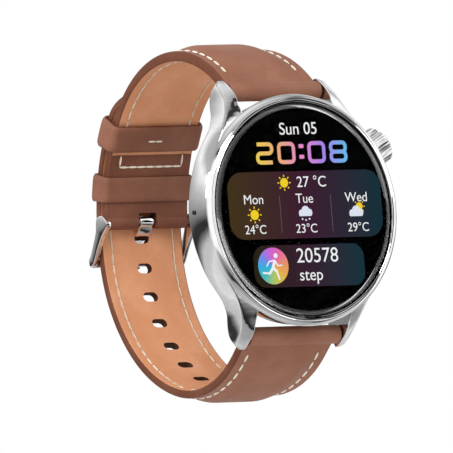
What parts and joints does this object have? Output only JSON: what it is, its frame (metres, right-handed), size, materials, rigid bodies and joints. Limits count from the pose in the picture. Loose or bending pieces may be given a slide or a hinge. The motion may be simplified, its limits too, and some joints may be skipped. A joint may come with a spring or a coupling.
{
  "type": "smartwatch",
  "caption": "Round smartwatch with polished steel case, knurled crown and side button, on a closed stitched leather strap with keepers and pin buckle.",
  "frame": {"origin": "middle of the space that the wrist fills, on the watch's own axis", "axes": "+Z towards 12 o'clock, -Y out of the display, +X towards 3 o'clock and the crown"},
  "size_m": [0.0483, 0.0606, 0.0712],
  "materials": {
    "polished_steel": "mirror polished stainless steel",
    "crown_steel": "knurled and polished stainless steel",
    "spring_steel": "drawn wire and turned pins",
    "cover_glass": "polished hardened glass",
    "display": "self-lit display stack",
    "back_ceramic": "polished dark shell",
    "sensor_lens": "dark sensor window",
    "seal_rubber": "moulded seal",
    "inner_plastic": "moulded frame",
    "circuit_board": "solder-masked laminate",
    "cell_pouch": "foil pouch cell",
    "shield_metal": "tinned sheet",
    "gold_contact": "gold-plated pins",
    "outer_leather": "smooth tanned leather",
    "lining_leather": "undyed lining leather",
    "foam_padding": "felt filler"
  },
  "bodies": {
    "case": {"mid_case": "polished_steel", "bezel_ring": "polished_steel", "cover_glass": "cover_glass", "glass_gasket": "seal_rubber", "display_panel": "display", "display_frame": "inner_plastic", "main_board": "circuit_board", "shield_can": "shield_metal", "battery": "cell_pouch", "vibration_motor": "shield_metal", "speaker": "inner_plastic", "microphone": "shield_metal", "sensor_board": "circuit_board", "optical_sensors": "sensor_lens", "back_cover": "back_ceramic", "charging_contacts": "gold_contact", "sensor_window": "sensor_lens", "back_gasket": "seal_rubber", "case_screws": "spring_steel", "crown_tube": "spring_steel", "crown_seal": "seal_rubber", "crown_switch": "inner_plastic", "button_seal": "seal_rubber", "button_switch": "inner_plastic"},
    "crown_plunger": {"crown_clip": "spring_steel"},
    "crown_knob": {"crown": "crown_steel", "crown_stem": "spring_steel"},
    "side_key": {"side_button": "polished_steel", "button_stem": "spring_steel", "button_clip": "spring_steel"},
    "upper_strap": {"upper_strap_leather": "outer_leather", "upper_strap_padding": "foam_padding", "upper_strap_lining": "lining_leather", "upper_bar_tube": "spring_steel", "upper_bar_tip": "spring_steel", "upper_bar_spring": "spring_steel"},
    "upper_release": {"upper_bar_lever": "spring_steel"},
    "lower_strap": {"lower_strap_leather": "outer_leather", "lower_strap_padding": "foam_padding", "lower_strap_lining": "lining_leather", "lower_bar_tube": "spring_steel", "lower_bar_tip": "spring_steel", "lower_bar_spring": "spring_steel"},
    "lower_release": {"lower_bar_lever": "spring_steel"},
    "strap_back": {"buckle_strap_leather": "outer_leather", "buckle_strap_lining": "lining_leather", "buckle_strap_fold": "outer_leather", "fixed_keeper": "outer_leather", "buckle_bar": "spring_steel", "tail_leather": "outer_leather", "tail_lining": "lining_leather"},
    "keeper_loop": {"free_keeper": "outer_leather"},
    "buckle": {"buckle_frame": "polished_steel"},
    "tongue": {"buckle_tongue": "polished_steel"}
  },
  "joints": [
    {"name": "crown_press", "type": "slide", "parent": "case", "child": "crown_plunger", "axis": [-0.8746, 0, -0.4848], "range_m": [0, 0.00035], "stiffness_N_per_m": 4000, "springref_m": -0.00015},
    {"name": "crown_turn", "type": "hinge", "parent": "crown_plunger", "child": "crown_knob", "pos_m": [0, -0.0255, 0], "axis": [0.8746, 0, 0.4848], "continuous": true},
    {"name": "side_key_press", "type": "slide", "parent": "case", "child": "side_key", "axis": [-0.866, 0, 0.5], "range_m": [0, 0.0003], "stiffness_N_per_m": 4000, "springref_m": -0.00015},
    {"name": "strap_sway", "type": "hinge", "parent": "case", "child": "upper_strap", "pos_m": [0, -0.0237, 0.0242], "axis": [1, 0, 0], "range_deg": [-4, 4], "stiffness_Nm_per_rad": 1},
    {"name": "strap_flex", "type": "hinge", "parent": "upper_strap", "child": "strap_back", "pos_m": [0, 0.0006, 0.03369], "axis": [1, 0, 0], "range_deg": [-3.1, 3.1]},
    {"name": "lower_strap_sway", "type": "hinge", "parent": "case", "child": "lower_strap", "pos_m": [0, -0.0237, -0.0242], "axis": [1, 0, 0], "range_deg": [-3.9, 3.9]},
    {"name": "upper_bar_release", "type": "slide", "parent": "upper_strap", "child": "upper_release", "axis": [1, 0, 0], "range_m": [0, 0.0016], "stiffness_N_per_m": 800, "springref_m": -0.001, "deforming": ["upper_bar_spring"]},
    {"name": "lower_bar_release", "type": "slide", "parent": "lower_strap", "child": "lower_release", "axis": [1, 0, 0], "range_m": [0, 0.0016], "stiffness_N_per_m": 800, "springref_m": -0.001, "deforming": ["lower_bar_spring"]},
    {"name": "keeper_slide", "type": "hinge", "parent": "strap_back", "child": "keeper_loop", "pos_m": [0, -0.01496, 0.0009], "axis": [1, 0, 0], "range_deg": [-7.6, 1.8]},
    {"name": "buckle_tilt", "type": "hinge", "parent": "strap_back", "child": "buckle", "pos_m": [0, 0.0235, 0.0034], "axis": [1, 0, 0], "range_deg": [0, 3]},
    {"name": "tongue_lift", "type": "hinge", "parent": "buckle", "child": "tongue", "pos_m": [0, 0.0235, 0.0034], "axis": [1, 0, 0], "range_deg": [0, 2]}
  ],
  "couplings": [
    {"joint": "strap_flex", "follows": "strap_sway", "ratio": -0.73639},
    {"joint": "lower_strap_sway", "follows": "strap_sway", "ratio": 0.92224}
  ]
}
